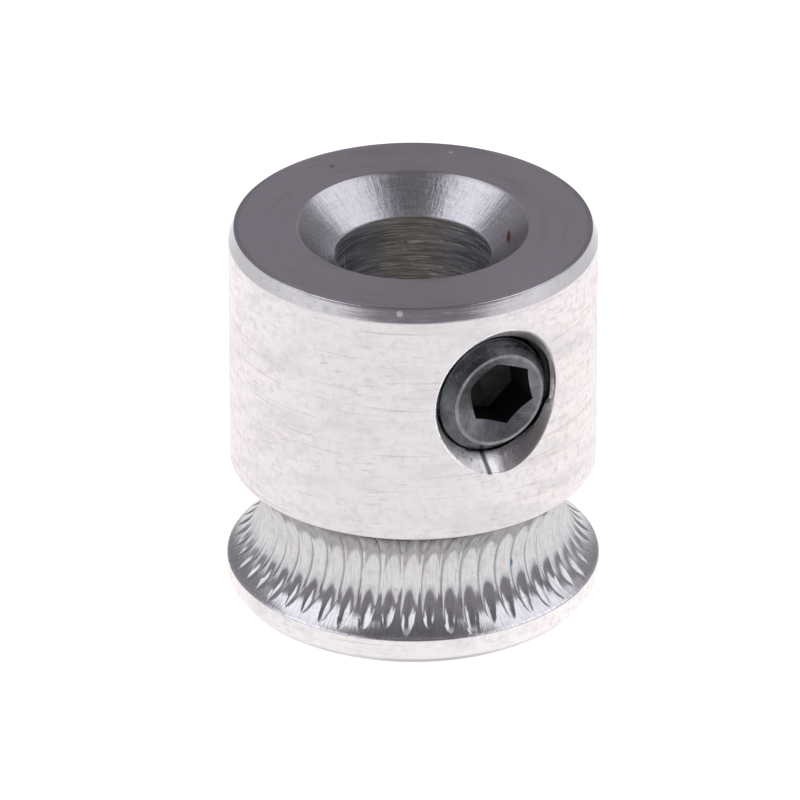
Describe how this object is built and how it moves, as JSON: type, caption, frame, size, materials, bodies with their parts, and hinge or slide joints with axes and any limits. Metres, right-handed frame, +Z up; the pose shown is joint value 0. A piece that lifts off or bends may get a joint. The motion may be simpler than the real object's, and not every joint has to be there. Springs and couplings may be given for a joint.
{
  "type": "filament drive gear",
  "caption": "Stainless hobbed feed gear for a filament extruder, with a concave toothed throat, a plain hub, a countersunk bore and a radial set screw.",
  "frame": {"origin": "centre of the flange's lower face, on the bore's axis", "axes": "+Z up the bore's axis, from the flange to the countersunk hub face; -Y is the front, and the set screw points outwards between -Y and +X"},
  "size_m": [0.0122, 0.0122, 0.013],
  "materials": {
    "stainless_steel": "satin",
    "black_oxide_steel": "satin"
  },
  "bodies": {
    "gear": {"drive_gear": "stainless_steel"},
    "screw": {"set_screw": "black_oxide_steel"}
  },
  "joints": [
    {"name": "set_screw_travel", "type": "slide", "parent": "gear", "child": "screw", "axis": [0.4741, -0.8805, 0], "range_m": [-0.00085, 0.0032]}
  ]
}
